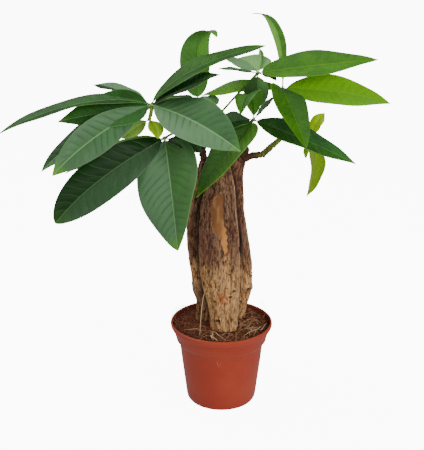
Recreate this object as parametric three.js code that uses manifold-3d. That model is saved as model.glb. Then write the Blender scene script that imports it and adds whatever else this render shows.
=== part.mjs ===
// A money tree with three stout stems in a round plastic nursery pot.
// Lengths are millimetres, angles are degrees, +Z is up.
// The origin is the middle of the pot's underside, and -Y is the side that faces the viewer.
import * as THREE from 'three';
import { mergeVertices } from 'three/addons/utils/BufferGeometryUtils.js';
import Module from 'manifold-3d';

const wasm = await Module();
wasm.setup();

// Driving dimensions
const POT_HEIGHT = 98;
const POT_RIM_RADIUS = 59.8;
const POT_BASE_RADIUS = 37.5;
const POT_FLOOR = 1.8;
const POT_SIDES = 32;
const DRAIN_COUNT = 6;
const DRAIN_RADIUS = 4.5;
const DRAIN_CIRCLE = 24;
const SOIL_TOP = 94;
const SOIL_CROWN = 95.6;
const SOIL_RADIUS = 56.2;
const TRUNK_FOOT = 55;
const CLEARANCE = 0.35;
const TRUNK_SIDES = 18;
const TRUNK_FLUTES = 5;
const TRUNK_FLUTE_DEPTH = 0.04;
const STALK_SIDES = 6;
const BLADE_THICKNESS = 0.8;
const STALKLET_HALF_WIDTH = 0.9;
const STALKLET_THICKNESS = 1.7;
const STALKLET_LENGTH = 4;
const BLADE_FOLD = 10;
const BLADE_STEPS = 7;
const PATH_STEPS = 28;
const KNOT_RADIUS = 2.1;
const TIP_HALF_WIDTH = 0.4;
const FLUTE_TURN = 0.15;
const DRILL_SIDES = 12;

// Materials
const terracotta = new THREE.MeshStandardMaterial({ color: 0xa8462e, roughness: 0.45, metalness: 0 });
const earth = new THREE.MeshStandardMaterial({ color: 0x4a2c1c, roughness: 0.95, metalness: 0 });
const bark = new THREE.MeshStandardMaterial({ color: 0x8a6a4c, roughness: 0.9, metalness: 0 });
const twigBark = new THREE.MeshStandardMaterial({ color: 0x6c7a30, roughness: 0.7, metalness: 0 });
const darkLeaf = new THREE.MeshStandardMaterial({ color: 0x24552a, roughness: 0.4, metalness: 0 });
const midLeaf = new THREE.MeshStandardMaterial({ color: 0x2f6a24, roughness: 0.42, metalness: 0 });
const brightLeaf = new THREE.MeshStandardMaterial({ color: 0x5c9a14, roughness: 0.5, metalness: 0 });
const youngLeaf = new THREE.MeshStandardMaterial({ color: 0x9ab41e, roughness: 0.5, metalness: 0 });

const rad = THREE.MathUtils.degToRad;
const point = (p) => new THREE.Vector3(p[0], p[1], p[2]);

// Solids and booleans

function toSolid(geometry) {
  const bare = geometry.clone();
  bare.deleteAttribute('normal');
  bare.deleteAttribute('uv');
  const merged = mergeVertices(bare, 1e-4);
  const index = Array.from(merged.index.array);
  const kept = [];
  for (let i = 0; i < index.length; i += 3) {
    const [a, b, c] = index.slice(i, i + 3);
    if (a !== b && b !== c && c !== a) {
      kept.push(a, b, c);
    }
  }
  return new wasm.Manifold(new wasm.Mesh({
    numProp: 3,
    vertProperties: new Float32Array(merged.attributes.position.array),
    triVerts: new Uint32Array(kept),
  }));
}

function toGeometry(solid) {
  const mesh = solid.getMesh();
  const geometry = new THREE.BufferGeometry();
  geometry.setAttribute('position', new THREE.BufferAttribute(new Float32Array(mesh.vertProperties), 3));
  geometry.setIndex(Array.from(mesh.triVerts));
  geometry.computeVertexNormals();
  return geometry;
}

function joined(solids) {
  return solids.reduce((sum, solid) => sum.add(solid));
}

// A closed skin over cross sections that all have the same number of points.
// crossed(j) is true where the strip after point j takes its other diagonal.
function skin(rings, capTriangles, crossed = () => false) {
  const count = rings[0].length;
  const positions = rings.flat().flatMap((p) => [p.x, p.y, p.z]);
  const index = [];
  for (let i = 0; i + 1 < rings.length; i++) {
    for (let j = 0; j < count; j++) {
      const a = i * count + j;
      const b = i * count + ((j + 1) % count);
      const c = b + count;
      const d = a + count;
      if (crossed(j)) {
        index.push(a, b, d, b, c, d);
      } else {
        index.push(a, b, c, a, c, d);
      }
    }
  }
  const last = (rings.length - 1) * count;
  for (const [a, b, c] of capTriangles) {
    index.push(a, c, b);
    index.push(last + a, last + b, last + c);
  }
  const geometry = new THREE.BufferGeometry();
  geometry.setAttribute('position', new THREE.Float32BufferAttribute(positions, 3));
  geometry.setIndex(index);
  return geometry;
}

function fanCap(count) {
  return Array.from({ length: count - 2 }, (_, k) => [0, k + 1, k + 2]);
}

// Pot and soil

// Outer wall: rounded foot, tapered body, a small ledge, a collar and a flared lip
const potOutside = [
  [0, 0], [POT_BASE_RADIUS, 0], [40.4, 2], [41.6, 6], [46.6, 48], [48.5, 65], [49.4, 71.8], [50.4, 73.9],
  [52.4, 76], [53.3, 78.4], [54.8, 84], [57.2, 89.5], [59.3, 93.5], [POT_RIM_RADIUS, 95.8], [59.2, 97.4],
  [58.2, POT_HEIGHT],
];

// Inner wall, from the lip down to the floor
const potInside = [
  [57.5, 97], [57, 93], [55.2, 89], [53, 84], [51.6, 80.2], [50.6, 78.2], [48.4, 75.2], [47.6, 73],
  [46.7, 65], [44.8, 48], [39.8, 6], [38.2, 2.6], [36, POT_FLOOR], [0, POT_FLOOR],
];

function makePot() {
  const profile = [...potOutside, ...potInside].map(([r, z]) => new THREE.Vector2(r, z));
  const turned = new THREE.LatheGeometry(profile, POT_SIDES);
  turned.rotateX(Math.PI / 2);
  let pot = toSolid(turned);
  for (let k = 0; k < DRAIN_COUNT; k++) {
    const angle = (2 * Math.PI * k) / DRAIN_COUNT;
    const drill = new THREE.CylinderGeometry(DRAIN_RADIUS, DRAIN_RADIUS, 6, DRILL_SIDES);
    drill.rotateX(Math.PI / 2);
    drill.translate(DRAIN_CIRCLE * Math.cos(angle), DRAIN_CIRCLE * Math.sin(angle), 0);
    pot = pot.subtract(toSolid(drill));
  }
  return pot;
}

// The soil follows the pot's inner wall and is heaped a little round the stems
function makeSoil(trunks) {
  const wall = potInside.slice(2, -1).reverse();
  const side = wall.map(([r, z]) => new THREE.Vector2(r - CLEARANCE, z + CLEARANCE));
  const profile = [
    new THREE.Vector2(0, POT_FLOOR + CLEARANCE),
    ...side,
    new THREE.Vector2(SOIL_RADIUS, SOIL_TOP - 1),
    new THREE.Vector2(46, SOIL_TOP),
    new THREE.Vector2(30, SOIL_TOP + 0.8),
    new THREE.Vector2(0, SOIL_CROWN),
  ];
  const turned = new THREE.LatheGeometry(profile, POT_SIDES);
  turned.rotateX(Math.PI / 2);
  return trunks.reduce((soil, trunk) => soil.subtract(trunk), toSolid(turned));
}

// Stems

// Each station is [height, centre x, centre y, half width, half depth]
const trunkStations = {
  front: [
    [TRUNK_FOOT, 3, -12, 15, 13.5], [88, 3, -12.5, 15.5, 14], [102, 3.2, -13, 15.9, 14.5],
    [123, 2.3, -14, 17.4, 15], [149, -0.5, -16, 20.7, 16], [172, -2.5, -17, 22.1, 17],
    [197, -3.1, -18, 22, 17], [239, -4.4, -18, 19.9, 16], [259, -3, -17, 17, 15],
    [283, -3, -16, 13, 12], [292, -3, -16, 11, 10.5], [295, -3, -16, 8, 7.5],
  ],
  left: [
    [TRUNK_FOOT, -20, 14, 12, 12], [90, -19, 14, 12, 12], [117, -16.5, 13, 12.5, 13],
    [130, -19.3, 12, 14, 14], [148, -20.5, 12, 14.3, 15], [178, -24, 12, 15, 15],
    [203, -25.5, 12, 15, 15], [230, -24, 12, 14.5, 15], [257, -19.5, 11, 13, 14],
    [277, -17, 10, 10.5, 11], [286, -17.5, 10, 8.5, 9], [289, -18, 10, 6, 6],
  ],
  right: [
    [TRUNK_FOOT, 17, 21, 12, 12], [90, 17, 20, 12, 12], [103, 17, 19, 12.3, 12.5],
    [130, 22, 15, 14, 14], [150, 21.5, 13, 14.5, 14.5], [170, 20.5, 12, 15, 15],
    [196, 17, 10, 14, 14], [235, 12.7, 9, 13, 13], [274, 12.5, 8, 11.5, 12],
    [289, 15.5, 8, 11, 11], [294, 16, 8, 9, 9], [296, 16.5, 8, 6, 6],
  ],
};

// Compass direction of one ridge of each stem at its foot
const trunkPhase = { front: 172, left: 40, right: 300 };

// A fluted stem; grow widens it evenly, so that the same shape can also cut its own socket
function makeTrunk(side, grow = 0) {
  const rings = trunkStations[side].map(([z, x, y, halfWidth, halfDepth], i, all) => {
    const height = z + (i === 0 ? -grow : i === all.length - 1 ? grow : 0);
    return Array.from({ length: TRUNK_SIDES }, (_, k) => {
      const angle = (2 * Math.PI * k) / TRUNK_SIDES;
      const phase = rad(trunkPhase[side] + FLUTE_TURN * z);
      const flute = 1 + TRUNK_FLUTE_DEPTH * Math.cos(TRUNK_FLUTES * (angle - phase));
      return new THREE.Vector3(
        x + (halfWidth * flute + grow) * Math.cos(angle),
        y + (halfDepth * flute + grow) * Math.sin(angle),
        height,
      );
    });
  });
  return toSolid(skin(rings, fanCap(TRUNK_SIDES)));
}

// A tapered round limb through the given points, one radius for each point
function makeLimb(points, radii, grow = 0) {
  const curve = new THREE.CatmullRomCurve3(points.map(point), false, 'centripetal');
  const steps = (points.length - 1) * 2;
  const frames = curve.computeFrenetFrames(steps, false);
  const rings = [];
  for (let i = 0; i <= steps; i++) {
    const at = curve.getPointAt(i / steps);
    const place = (i / steps) * (radii.length - 1);
    const low = Math.min(Math.floor(place), radii.length - 2);
    const radius = THREE.MathUtils.lerp(radii[low], radii[low + 1], place - low) + grow;
    rings.push(Array.from({ length: STALK_SIDES }, (_, k) => {
      const angle = (2 * Math.PI * k) / STALK_SIDES;
      return at.clone()
        .addScaledVector(frames.normals[i], radius * Math.cos(angle))
        .addScaledVector(frames.binormals[i], radius * Math.sin(angle));
    }));
  }
  return toSolid(skin(rings, fanCap(STALK_SIDES)));
}

// Leaves

// Half width along a blade, from 0 at the stalklet to 1 at the widest place and 0 at the tip.
// early sets how soon the blade widens and late how slowly it narrows.
function bladeOutline(t, early, late) {
  const top = early / (early + late);
  const peak = top ** early * (1 - top) ** late;
  return (t ** early * (1 - t) ** late) / peak;
}

// One leaflet of a hand shaped leaf, from the point where its leaf stalk ends.
// turn is the compass direction of its midrib, rise its slope at the stalk, droop how far it bends down,
// curl where it bends (over 1 is nearer the tip), sweep how far it swings sideways, roll and twist how
// its blade leans about the midrib.
function makeLeaflet(hub, leaflet) {
  const { turn, rise, droop, length, width, roll } = leaflet;
  const { sweep = 0, twist = 0, curl = 1, early = 0.9, late = 0.9 } = leaflet;
  const fold = rad(BLADE_FOLD);
  const at = point(hub);
  const rings = [];
  const frame = (s) => {
    const heading = rad(turn + sweep * s);
    const slope = rad(rise - droop * s ** curl);
    const along = new THREE.Vector3(
      Math.cos(heading) * Math.cos(slope),
      Math.sin(heading) * Math.cos(slope),
      Math.sin(slope),
    );
    const level = new THREE.Vector3(Math.sin(heading), -Math.cos(heading), 0);
    const face = level.clone().cross(along);
    const lean = rad(roll + twist * s);
    const side = level.clone().multiplyScalar(Math.cos(lean)).addScaledVector(face, Math.sin(lean));
    const up = face.multiplyScalar(Math.cos(lean)).addScaledVector(level, -Math.sin(lean));
    return { along, side, up };
  };
  const bare = STALKLET_LENGTH / length;
  for (let i = 0; i <= PATH_STEPS; i++) {
    const s = i / PATH_STEPS;
    if (i > 0) {
      at.addScaledVector(frame(s - 0.5 / PATH_STEPS).along, length / PATH_STEPS);
    }
    if (i % (PATH_STEPS / BLADE_STEPS) === 0) {
      const { side, up } = frame(s);
      const t = Math.max(0, (s - bare) / (1 - bare));
      const blade = (width / 2) * bladeOutline(t, early, late);
      const half = i === PATH_STEPS ? TIP_HALF_WIDTH : Math.max(STALKLET_HALF_WIDTH, blade);
      const thick = (t > 0 ? BLADE_THICKNESS : STALKLET_THICKNESS) / 2;
      const ring = [];
      for (const [across, face] of [[-1, 1], [0, 1], [1, 1], [1, -1], [0, -1], [-1, -1]]) {
        ring.push(at.clone()
          .addScaledVector(side, across * half * Math.cos(fold))
          .addScaledVector(up, Math.abs(across) * half * Math.sin(fold) + face * thick));
      }
      rings.push(ring);
    }
  }
  const caps = [[0, 1, 4], [0, 4, 5], [1, 2, 3], [1, 3, 4]];
  return toSolid(skin(rings, caps, (j) => j >= 3));
}

// A leaf: its stalk, the small knot where the stalk ends, and its leaflets, grown together
function makeFrond(frond) {
  const hub = frond.stalk[frond.stalk.length - 1];
  const knot = new THREE.SphereGeometry(KNOT_RADIUS, 8, 6);
  knot.translate(...hub);
  return joined([
    makeLimb(frond.stalk, frond.radii),
    toSolid(knot),
    ...frond.leaflets.map((leaflet) => makeLeaflet(hub, leaflet)),
  ]);
}

const fronds = {
  // Large dark leaf that spreads to the left above the others
  frond_left_upper: {
    material: darkLeaf,
    stalk: [[-21, 6, 312], [-40, -12, 340], [-58, -27, 353], [-74, -40, 360]],
    radii: [1.6, 1.4, 1.4, 2],
    leaflets: [
      {
        turn: -168, rise: 23, droop: 51, length: 162, width: 26, roll: 13, sweep: -1, curl: 0.6,
        early: 0.75,
      },
      { turn: -166, rise: -5, droop: 6, length: 97, width: 43, roll: 50, sweep: -3, early: 0.5, late: 1.05 },
      {
        turn: -150, rise: -18, droop: 21, length: 129, width: 36, roll: 65, sweep: 9, twist: 4, curl: 1.3,
        early: 1.05, late: 0.95,
      },
      { turn: -172, rise: -15, droop: 30, length: 135, width: 34, roll: 28 },
      {
        turn: -40, rise: -4, droop: 26, length: 117, width: 54, roll: -30, sweep: 10, twist: -12, late: 1,
      },
      {
        turn: 18, rise: 71, droop: 63, length: 141, width: 29, roll: -12, twist: -5, curl: 0.34,
        early: 0.75, late: 0.85,
      },
      { turn: 140, rise: 17, droop: 18, length: 87, width: 30, roll: 0, early: 1.2, late: 0.8 },
      {
        turn: -2, rise: 30, droop: 12, length: 78, width: 40, roll: -13, sweep: -2, twist: 3, early: 0.7,
        late: 0.8,
      },
      { turn: 5, rise: 14, droop: 20, length: 46, width: 14, roll: 0 },
    ],
  },
  // Large dark leaf that hangs to the left and in front of the stems
  frond_left_lower: {
    material: darkLeaf,
    stalk: [[-21, 4, 308], [-36, -18, 324], [-50, -38, 330], [-60, -48, 327]],
    radii: [1.4, 1.2, 1.2, 1.5],
    leaflets: [
      {
        turn: -149, rise: -22, droop: 26, length: 144, width: 47, roll: 60, sweep: -10, curl: 1.6,
        early: 0.72, late: 0.65,
      },
      {
        turn: -79, rise: -44, droop: 9, length: 126, width: 73, roll: -23, twist: -38, early: 0.5,
        late: 0.8,
      },
      { turn: 178, rise: -8, droop: 25, length: 114, width: 36, roll: 10 },
      { turn: 172, rise: -28, droop: 25, length: 90, width: 34, roll: 0 },
      { turn: 100, rise: -52, droop: 20, length: 82, width: 32, roll: 0 },
      { turn: -25, rise: -8, droop: 15, length: 44, width: 30, roll: -10 },
    ],
  },
  // Two young leaflets that have just opened under the upper left leaf
  frond_left_young: {
    material: youngLeaf,
    stalk: [[-73, -39, 359], [-74, -40, 353], [-76, -40, 345]],
    radii: [1.3, 2.1, 1.7],
    leaflets: [
      { turn: -145, rise: -20, droop: 12, length: 37, width: 18, roll: 40 },
      { turn: -64, rise: -10, droop: 13, length: 42, width: 16, roll: 1, sweep: -21 },
    ],
  },
  // Middle leaf above the stems, with one leaflet down over them
  frond_centre: {
    material: midLeaf,
    stalk: [[12, 5, 291], [13, -6, 312], [23, -18, 330], [33, -22, 341]],
    radii: [2, 1.6, 1.4, 1.6],
    leaflets: [
      {
        turn: -20, rise: -16, droop: 7, length: 118, width: 38, roll: -22, sweep: 2, early: 0.62,
        late: 1.05,
      },
      { turn: -157, rise: 9, droop: 33, length: 41, width: 32, roll: 17, sweep: 2 },
      { turn: -131, rise: -35, droop: 17, length: 106, width: 50, roll: 0, sweep: -24, early: 0.5 },
      { turn: -111, rise: 104, droop: 183, length: 70, width: 26, roll: -13, curl: 1.1 },
      { turn: 25, rise: 47, droop: 10, length: 34, width: 10, roll: 60 },
    ],
  },
  // Bright leaf at the end of the twig on the right
  frond_right_upper: {
    material: brightLeaf,
    stalk: [[61, -4, 314], [64, -5, 322], [66, -4, 345], [65, 0, 370]],
    radii: [1.6, 1.2, 1.1, 1.5],
    leaflets: [
      {
        turn: 85, rise: 66, droop: 75, length: 131, width: 16, roll: -10, sweep: 40, curl: 1.5,
        early: 1.2,
      },
      { turn: -6, rise: 2, droop: 19, length: 118, width: 39, roll: -45, sweep: 9, early: 0.74, late: 1.05 },
      {
        turn: -92, rise: 18, droop: 73, length: 96, width: 40, roll: 28, sweep: 36, twist: -33, curl: 0.5,
        early: 0.45, late: 0.85,
      },
      { turn: 75, rise: -5, droop: 50, length: 84, width: 34, roll: 0 },
      { turn: 150, rise: 1, droop: 20, length: 103, width: 32, roll: 20 },
    ],
  },
  // Highest leaf, on a long straight stalk
  frond_top: {
    material: brightLeaf,
    stalk: [[-20, 7, 313], [-5, 6, 338], [15, 4, 362], [38, 0, 387]],
    radii: [1.4, 1.2, 1.2, 1.5],
    leaflets: [
      { turn: -5, rise: 9, droop: 4, length: 127, width: 44, roll: -30, early: 0.64, late: 1 },
      { turn: 67, rise: 28, droop: 1, length: 46, width: 8, roll: 39, sweep: 36 },
      { turn: -98, rise: -56, droop: 25, length: 39, width: 28, roll: -12 },
      { turn: 170, rise: 8, droop: 6, length: 43, width: 11, roll: -28 },
      { turn: 108, rise: 22, droop: 45, length: 73, width: 49, roll: 1, sweep: 12, curl: 1.3, early: 0.45 },
      { turn: -35, rise: -5, droop: 20, length: 24, width: 14, roll: 0 },
    ],
  },
  // Leaf behind the left stem, with one leaflet standing up
  frond_rear_upper: {
    material: brightLeaf,
    stalk: [[-22, 9, 308], [-26, 24, 336], [-27, 38, 351]],
    radii: [1.4, 1.2, 1.4],
    leaflets: [
      {
        turn: -68, rise: 98, droop: 148, length: 102, width: 37, roll: 4, sweep: 23, curl: 3.1, early: 0.5,
        late: 0.7,
      },
      { turn: -12, rise: 8, droop: 30, length: 24, width: 24, roll: -20, late: 0.6 },
      { turn: 95, rise: 0, droop: 45, length: 100, width: 38, roll: 0 },
      { turn: 155, rise: 8, droop: 45, length: 70, width: 34, roll: 0 },
    ],
  },
  // Leaf that hangs behind the stems
  frond_rear_lower: {
    material: midLeaf,
    stalk: [[-18, 12, 283], [-20, 28, 303], [-8, 46, 318]],
    radii: [1.8, 1.5, 1.6],
    leaflets: [
      { turn: 95, rise: 5, droop: 50, length: 110, width: 44, roll: 0 },
      { turn: 140, rise: -5, droop: 50, length: 78, width: 40, roll: 0 },
      { turn: 68, rise: -25, droop: 45, length: 100, width: 40, roll: 0 },
    ],
  },
  // Young yellow green leaf on the twig, below the bright one
  frond_right_young: {
    material: youngLeaf,
    stalk: [[60, -3, 314], [72, 0, 316], [86, 3, 315], [97, 5, 314]],
    radii: [1.3, 1.1, 1, 1.2],
    leaflets: [
      { turn: 25, rise: 74, droop: 33, length: 33, width: 19, roll: -15 },
      {
        turn: 24, rise: -47, droop: 70, length: 70, width: 26, roll: 24, sweep: -29, twist: -5, curl: 0.6,
        early: 0.76, late: 1.05,
      },
      { turn: -140, rise: -60, droop: 30, length: 22, width: 8, roll: 0 },
    ],
  },
};

// Woody shoots that carry the leaves; the stub is an old shoot that was cut off
const shoots = {
  shoot_left: { points: [[-19, 10, 282], [-21, 8, 300], [-22, 5, 317]], radii: [3.4, 3, 2.6] },
  twig_right: {
    points: [[18, 6, 288], [33, 2, 296], [44, 0, 298], [52.5, -2, 306], [61, -4, 314], [63, -4, 317]],
    radii: [3.6, 3, 2.8, 2.7, 2.5, 2],
    stub: { points: [[22, 5, 289], [26, 4, 297], [28, 4, 304]], radii: [3, 2.7, 2.2] },
  },
};

// What each leaf stalk is seated on
const seats = {
  frond_left_upper: 'shoot_left',
  frond_left_lower: 'shoot_left',
  frond_left_young: 'frond_left_upper',
  frond_centre: 'trunk_right',
  frond_right_upper: 'twig_right',
  frond_top: 'shoot_left',
  frond_rear_upper: 'shoot_left',
  frond_rear_lower: 'trunk_left',
  frond_right_young: 'twig_right',
};

// Assembly

const plant = new THREE.Group();

function place(name, solid, material) {
  const mesh = new THREE.Mesh(toGeometry(solid), material);
  mesh.name = name;
  plant.add(mesh);
}

const sides = ['left', 'front', 'right'];
place('pot', makePot(), terracotta);
place('soil', makeSoil(sides.map((side) => makeTrunk(side, CLEARANCE))), earth);
for (const side of sides) {
  place(`trunk_${side}`, makeTrunk(side), bark);
}

// The same solids, slightly swollen, cut the ends of what stands on them
const swollen = {
  trunk_left: makeTrunk('left', CLEARANCE),
  trunk_right: makeTrunk('right', CLEARANCE),
  frond_left_upper: makeLimb(fronds.frond_left_upper.stalk, fronds.frond_left_upper.radii, CLEARANCE),
};
for (const [name, { points, radii, stub }] of Object.entries(shoots)) {
  const trunk = name === 'shoot_left' ? swollen.trunk_left : swollen.trunk_right;
  const limbs = [makeLimb(points, radii)];
  if (stub) {
    limbs.push(makeLimb(stub.points, stub.radii));
  }
  place(name, joined(limbs).subtract(trunk), twigBark);
  swollen[name] = makeLimb(points, radii, CLEARANCE);
}
for (const [name, frond] of Object.entries(fronds)) {
  place(name, makeFrond(frond).subtract(swollen[seats[name]]), frond.material);
}

export default plant;
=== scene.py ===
"""A potted money tree: the finished surfaces of its pot, soil, stems and leaves.

Lengths are metres, or millimetres where a comment says so, and angles are degrees. +Z is up and -Y
faces the viewer.
"""

import math
import random
from dataclasses import dataclass

import bpy
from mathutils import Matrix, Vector, noise


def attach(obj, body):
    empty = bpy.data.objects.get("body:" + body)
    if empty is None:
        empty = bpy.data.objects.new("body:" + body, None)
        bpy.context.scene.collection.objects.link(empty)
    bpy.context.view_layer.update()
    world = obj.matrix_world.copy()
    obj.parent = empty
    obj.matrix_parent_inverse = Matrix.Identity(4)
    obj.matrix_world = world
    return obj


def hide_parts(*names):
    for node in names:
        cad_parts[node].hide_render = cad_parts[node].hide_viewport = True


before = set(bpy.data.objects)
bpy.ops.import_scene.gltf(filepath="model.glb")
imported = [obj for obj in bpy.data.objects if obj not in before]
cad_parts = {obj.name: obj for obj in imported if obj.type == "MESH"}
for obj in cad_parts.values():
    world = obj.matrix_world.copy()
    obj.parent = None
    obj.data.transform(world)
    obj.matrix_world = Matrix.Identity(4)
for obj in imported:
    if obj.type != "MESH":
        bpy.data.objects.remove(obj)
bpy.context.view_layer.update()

MM = 0.001

# Camera
CAMERA_PLACE = (-0.011, -0.900, 0.517)
CAMERA_TILT = 18.5
CAMERA_LENS = 67

# Light: lamps are a name, a place, what they point at, their size and their power
ROOM_LIGHT = 0.5
FLOOR_SIZE = 400
FLOOR_GLOW = 10
LAMPS = [
    ("overhead", (-0.6, 0.1, 1.6), (-0.05, 0, 0.3), 1.2, 13),
    ("right", (1.3, -1.3, 0.9), (0, 0, 0.25), 0.9, 19),
    ("front", (0.1, -1.9, 0.7), (0, 0, 0.2), 1.3, 12),
]

# Pot and soil. Loose bits to the left of the shaded side's edge are painted darker: painted shade
POT_SEGMENTS = 128
DRAIN_COUNT = 6
DRAIN_RADIUS = 4.5 * MM
DRAIN_CIRCLE = 24 * MM
SOIL_SEGMENTS = 200
SOIL_RINGS = 56
SOIL_TOP = 95.2 * MM
SOIL_FALL = 1.8 * MM
SOIL_LUMP = 1.6 * MM
CHIP_COUNT = 900
CHIP_REACH = 54.5 * MM
FIBRE_COUNT = 560
FIBRE_REACH = 52 * MM
FIBRE_LIMIT = 53.5 * MM
SHADE_EDGE = -8 * MM

# Soil in millimetres: its gap to the pot, radius and side height, then ranges of size of loose bits
SOIL_GAP = 0.35
SOIL_REACH = 56.2
SOIL_EDGE = 92
CHIP_SIZES = (0.35, 1.25)
FIBRE_LENGTHS = (7, 26)
FIBRE_RADII = (0.1, 0.2)

# Stems
STEM_SIDES = 168
STEM_RING_GAP = 1.1 * MM
FLUTES = 5
FLUTE_DEPTH = 0.05
FLUTE_TURN = 150
BARK_DEPTH = 1.0 * MM
BARK_LUMP = 0.8 * MM
PEEL_DEPTH = 1.1 * MM
GAP_SHADE = 0.86
TWIG_SWELL = 1.22
TWIG_LUMP = 0.45 * MM

# Leaves
BLADE_COLUMNS = 24
BLADE_ROWS = 84
BLADE_THICKNESS = 0.5 * MM
BLADE_NARROWEST = 0.25 * MM
BLADE_FOLD = 10
BLADE_HOLLOW = 0.24
RIPPLES = (9, 14)
RIB_ROWS = 28
RIB_RADIUS = 0.85 * MM
RIB_THINNEST = 0.2 * MM
STALKLET_LENGTH = 4 * MM
VEIN_PAIRS = 13
VEIN_SLANT = 0.8
QUILT_DEPTH = 0.7 * MM
KNOT_RADIUS = 2.1 * MM


# Making and finishing meshes

def select_only(piece):
    bpy.ops.object.select_all(action="DESELECT")
    piece.select_set(True)
    bpy.context.view_layer.objects.active = piece


def start_from(primitive, name, **settings):
    """A new primitive, made with nothing else selected."""
    bpy.ops.object.select_all(action="DESELECT")
    primitive(**settings)
    made = bpy.context.object
    made.name = name
    made.data.name = name
    return made


def spun(name, profile, steps):
    """A closed skin: a line of (radius, height) points, from axis to axis, spun round the middle."""
    made = start_from(bpy.ops.mesh.primitive_plane_add, name, size=1)
    made.data.clear_geometry()
    corners = [(radius, 0, height) for radius, height in profile]
    made.data.from_pydata(corners, [(k, k + 1) for k in range(len(corners) - 1)], [])
    select_only(made)
    bpy.ops.object.mode_set(mode="EDIT")
    bpy.ops.mesh.select_all(action="SELECT")
    bpy.ops.mesh.spin(steps=steps, angle=2 * math.pi, center=(0, 0, 0), axis=(0, 0, 1))
    bpy.ops.mesh.select_all(action="SELECT")
    bpy.ops.mesh.remove_doubles(threshold=0.01 * MM)
    bpy.ops.mesh.normals_make_consistent(inside=False)
    bpy.ops.object.mode_set(mode="OBJECT")
    return made


def ball(name, place, radius, segments, rings):
    """A round lump with its points in the plant's own frame."""
    made = start_from(
        bpy.ops.mesh.primitive_uv_sphere_add, name, segments=segments, ring_count=rings, radius=radius,
        location=place,
    )
    bpy.ops.object.transform_apply(location=True, rotation=False, scale=False)
    return made


def copy_of(blank):
    """A copy with a mesh of its own."""
    made = blank.copy()
    made.data = blank.data.copy()
    bpy.context.scene.collection.objects.link(made)
    return made


def apply_modifier(piece, kind, **settings):
    modifier = piece.modifiers.new(kind.lower(), kind)
    for name, value in settings.items():
        setattr(modifier, name, value)
    select_only(piece)
    bpy.ops.object.modifier_apply(modifier=modifier.name)


def join(pieces, name):
    """One object made of several, named and with nothing else selected."""
    select_only(pieces[0])
    for piece in pieces:
        piece.select_set(True)
    bpy.ops.object.join()
    made = bpy.context.object
    made.name = name
    made.data.name = name
    return made


def smooth(piece, angle):
    select_only(piece)
    bpy.ops.object.shade_smooth_by_angle(angle=math.radians(angle))


def float_attribute(piece, name, values):
    """Store a value for each point, or a single one for all of them."""
    if not isinstance(values, list):
        values = [values] * len(piece.data.vertices)
    layer = piece.data.attributes.new(name, "FLOAT", "POINT")
    layer.data.foreach_set("value", values)


def float_attributes(piece, names, rows):
    """Store several values for each point, given as a row of them for each."""
    for name, values in zip(names, zip(*rows)):
        float_attribute(piece, name, list(values))


def hand_over(piece, slot, *nodes):
    """The piece rides on the plant's one body and stands for these nodes."""
    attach(piece, "root")
    if nodes:
        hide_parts(*nodes)


def dress(piece, material, angle, slot, *nodes):
    """Give a piece its one material, smooth it up to this angle, and hand it over."""
    piece.data.materials.clear()
    piece.data.materials.append(material)
    if angle:
        smooth(piece, angle)
    hand_over(piece, slot, *nodes)


def random_place(draw, reach):
    """A place on the soil, as likely in any part of a circle of this radius."""
    away = reach * math.sqrt(draw.random())
    turn = draw.uniform(0, 2 * math.pi)
    return away * math.cos(turn), away * math.sin(turn)


def catmull(values, at):
    """A smooth curve through evenly numbered values, read at a place from 0 to their last number."""
    low = min(max(int(at), 0), len(values) - 2)
    share = at - low
    before = values[max(low - 1, 0)]
    start = values[low]
    end = values[low + 1]
    after = values[min(low + 2, len(values) - 1)]
    return 0.5 * (
        2 * start
        + (end - before) * share
        + (2 * before - 5 * start + 4 * end - after) * share ** 2
        + (3 * start - before - 3 * end + after) * share ** 3
    )


def smooth_line(points, steps):
    """Places along a smooth line through the given points."""
    points = [Vector(p) for p in points]
    last = len(points) - 1
    return [catmull(points, last * k / steps) for k in range(steps + 1)]


def tubes(name, strands, roundness):
    """Round tubes as one mesh. A strand is a list of (point, radius)."""
    curve = bpy.data.curves.new(name, "CURVE")
    curve.dimensions = "3D"
    curve.bevel_depth = 1
    curve.bevel_resolution = roundness
    curve.use_fill_caps = True
    for strand in strands:
        spline = curve.splines.new("POLY")
        spline.points.add(len(strand) - 1)
        for dot, (place, radius) in zip(spline.points, strand):
            dot.co = (*place, 1)
            dot.radius = radius
    tube = bpy.data.objects.new(name, curve)
    bpy.context.scene.collection.objects.link(tube)
    select_only(tube)
    bpy.ops.object.convert(target="MESH")
    return bpy.context.object


def strand_values(tube, values):
    """The value of each point of a tube mesh, from one for each strand.

    The mesh's loose parts are the caps of all the ends, two for each strand, and then the tubes in order.
    """
    count = len(tube.data.vertices)
    root = list(range(count))

    def top(k):
        while root[k] != k:
            root[k] = root[root[k]]
            k = root[k]
        return k

    for edge in tube.data.edges:
        a, b = sorted(top(k) for k in edge.vertices)
        root[b] = a
    order = {}
    for k in range(count):
        order.setdefault(top(k), len(order))
    return [values[order[top(k)] % len(values)] for k in range(count)]


def smoothstep(low, high, value):
    share = min(max((value - low) / (high - low), 0), 1)
    return share * share * (3 - 2 * share)


# Materials

def colour(code):
    """Linear colour of a six digit sRGB code."""
    shares = [int(code[k:k + 2], 16) / 255 for k in (0, 2, 4)]
    linear = [c / 12.92 if c <= 0.04045 else ((c + 0.055) / 1.055) ** 2.4 for c in shares]
    return (*linear, 1)


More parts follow.
